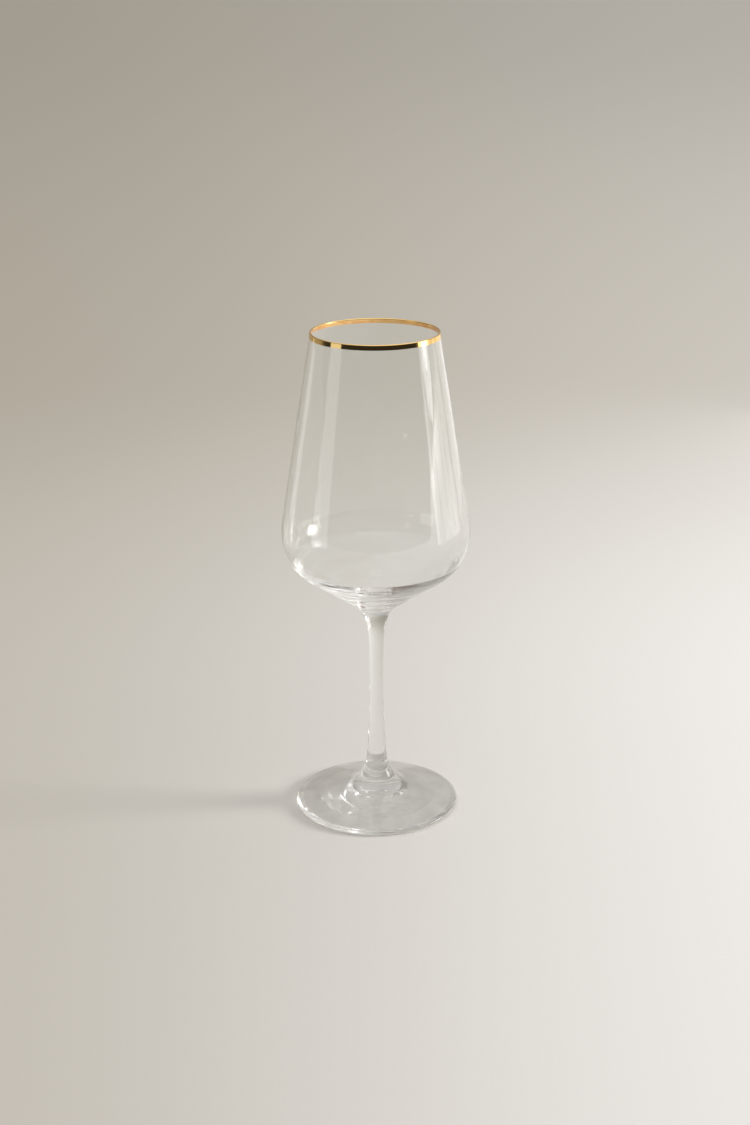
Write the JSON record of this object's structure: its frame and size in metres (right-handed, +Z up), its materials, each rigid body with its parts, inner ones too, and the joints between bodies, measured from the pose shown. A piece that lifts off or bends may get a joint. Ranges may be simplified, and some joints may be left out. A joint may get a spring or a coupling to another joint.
{
  "type": "stemmed wine glass",
  "caption": "Clear stemmed wine glass: tapered bowl with a round belly and conical base, slim solid stem, round foot, and a thin gold band over the lip.",
  "frame": {"origin": "centre of the plane the foot rests on", "axes": "+Z up along the stem, out of the bowl's mouth; the glass is round about Z, so X and Y are free"},
  "size_m": [0.0852, 0.0852, 0.2251],
  "materials": {
    "clear_glass": "clear, smooth, fire polished",
    "gold_band": "bright fired gold, polished"
  },
  "bodies": {
    "root": {"bowl": "clear_glass", "stem": "clear_glass", "foot": "clear_glass", "gold_rim": "gold_band"}
  },
  "joints": []
}
